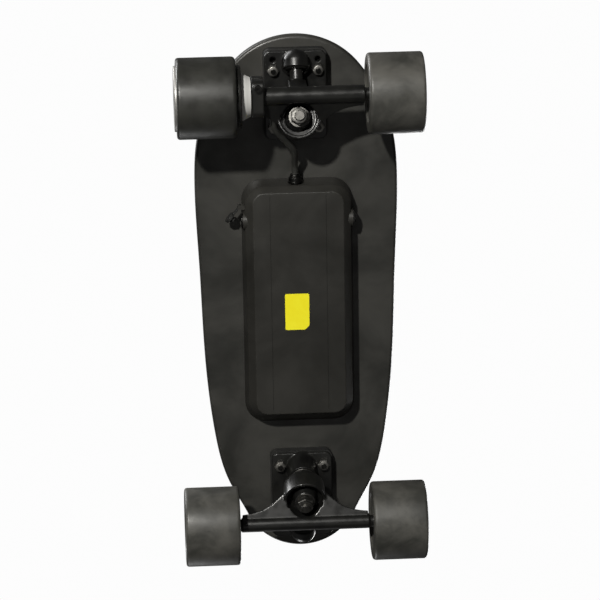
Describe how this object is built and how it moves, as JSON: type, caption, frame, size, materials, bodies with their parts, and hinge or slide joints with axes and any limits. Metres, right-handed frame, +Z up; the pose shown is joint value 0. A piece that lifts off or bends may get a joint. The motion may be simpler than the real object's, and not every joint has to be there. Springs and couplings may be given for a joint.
{
  "type": "electric skateboard",
  "caption": "Compact electric skateboard with a flat teardrop deck, cast steering trucks, poured wheels, a hub-motor rear wheel and an underslung battery box.",
  "frame": {"origin": "on the ground under the middle of the bounding box, the board standing on its four wheels", "axes": "+Z up; +Y towards the tail, the end with the motor; +X towards the side that carries the hub motor, the rider's left"},
  "size_m": [0.226, 0.4999, 0.1104],
  "materials": {
    "deck_wood": "dark satin lacquer over laminated wood",
    "grip": "coarse black grip with white print",
    "black_rubber": "matt",
    "black_casting": "satin black coat",
    "zinc_steel": "bright zinc",
    "black_steel": "black oxide",
    "cup_plastic": "dark moulded",
    "bushing_pu": "smooth cast elastomer",
    "case_plastic": "fine moulded texture",
    "yellow_label": "plain film",
    "cell_sleeve": "shrink sleeve over metal can",
    "nickel": "thin strip",
    "green_board": "solder mask",
    "bare_aluminium": "turned",
    "lead_sheath": "smooth",
    "red_lead": "smooth",
    "poured_wheel": "satin dark elastomer",
    "bearing_steel": "ground",
    "copper": "enamelled wire",
    "magnet": "nickel plated",
    "lamination": "stacked sheet",
    "button_black": "smooth"
  },
  "bodies": {
    "deck": {"deck_board": "deck_wood", "grip_tape": "grip", "riser_pads": "black_rubber", "rear_baseplate": "black_casting", "front_baseplate": "black_casting", "truck_bolts": "black_steel", "truck_nuts": "zinc_steel", "pivot_cups": "cup_plastic", "kingpins": "zinc_steel", "kingpin_nuts": "zinc_steel", "kingpin_washers": "zinc_steel", "rear_board_bushing": "bushing_pu", "rear_road_bushing": "bushing_pu", "front_board_bushing": "bushing_pu", "front_road_bushing": "bushing_pu", "enclosure_shell": "case_plastic", "enclosure_gasket": "black_rubber", "enclosure_screws": "black_steel", "notice_label": "yellow_label", "battery_cells": "cell_sleeve", "cell_strips": "nickel", "bms_board": "green_board", "controller_board": "green_board", "controller_heatsink": "bare_aluminium", "power_leads": "red_lead", "charge_socket": "zinc_steel", "panel_nuts": "zinc_steel", "button_body": "button_black", "cable_gland": "cup_plastic", "motor_cable": "lead_sheath"},
    "rear_hanger": {"rear_hanger": "black_casting", "clamp_bolt": "black_steel", "motor_shaft": "bearing_steel", "stator_core": "lamination", "stator_windings": "copper", "rear_axle": "zinc_steel", "rear_axle_nut": "zinc_steel", "rear_axle_washers": "zinc_steel"},
    "motor_wheel": {"motor_tyre": "poured_wheel", "motor_can": "black_casting", "rotor_magnets": "magnet", "motor_inner_cover": "bare_aluminium", "motor_outer_cover": "bare_aluminium", "motor_cap_plate": "bare_aluminium", "motor_bearings": "bearing_steel"},
    "rear_right_wheel": {"rear_right_tyre": "poured_wheel", "rear_right_bearings": "bearing_steel"},
    "front_hanger": {"front_hanger": "black_casting", "front_axle": "zinc_steel", "front_axle_nuts": "zinc_steel", "front_axle_washers": "zinc_steel"},
    "front_left_wheel": {"front_left_tyre": "poured_wheel", "front_left_bearings": "bearing_steel"},
    "front_right_wheel": {"front_right_tyre": "poured_wheel", "front_right_bearings": "bearing_steel"},
    "power_button": {"power_button": "button_black"},
    "charge_cap": {"charge_cap": "black_rubber"}
  },
  "joints": [
    {"name": "rear_steer", "type": "hinge", "parent": "deck", "child": "rear_hanger", "pos_m": [0, 0.182, 0.0545], "axis": [0, 0.9018, 0.4321], "range_deg": [-12, 12], "stiffness_Nm_per_rad": 30, "deforming": ["rear_board_bushing", "rear_road_bushing", "motor_cable"]},
    {"name": "front_steer", "type": "hinge", "parent": "deck", "child": "front_hanger", "pos_m": [0, -0.178, 0.0545], "axis": [0, -0.9018, 0.4321], "range_deg": [-12, 12], "stiffness_Nm_per_rad": 30, "deforming": ["front_board_bushing", "front_road_bushing"]},
    {"name": "motor_spin", "type": "hinge", "parent": "rear_hanger", "child": "motor_wheel", "pos_m": [0.084, 0.208, 0.037], "axis": [1, 0, 0], "continuous": true},
    {"name": "rear_right_spin", "type": "hinge", "parent": "rear_hanger", "child": "rear_right_wheel", "pos_m": [-0.0875, 0.208, 0.037], "axis": [1, 0, 0], "continuous": true},
    {"name": "front_left_spin", "type": "hinge", "parent": "front_hanger", "child": "front_left_wheel", "pos_m": [0.0875, -0.204, 0.037], "axis": [1, 0, 0], "continuous": true},
    {"name": "front_right_spin", "type": "hinge", "parent": "front_hanger", "child": "front_right_wheel", "pos_m": [-0.0875, -0.204, 0.037], "axis": [1, 0, 0], "continuous": true},
    {"name": "power_press", "type": "slide", "parent": "deck", "child": "power_button", "axis": [1, 0, 0], "range_m": [0, 0.001], "stiffness_N_per_m": 600, "springref_m": -0.0008},
    {"name": "cap_swing", "type": "hinge", "parent": "deck", "child": "charge_cap", "pos_m": [0.054, 0.0925, 0.0854], "axis": [0, 0, 1], "range_deg": [-40, 60]}
  ]
}
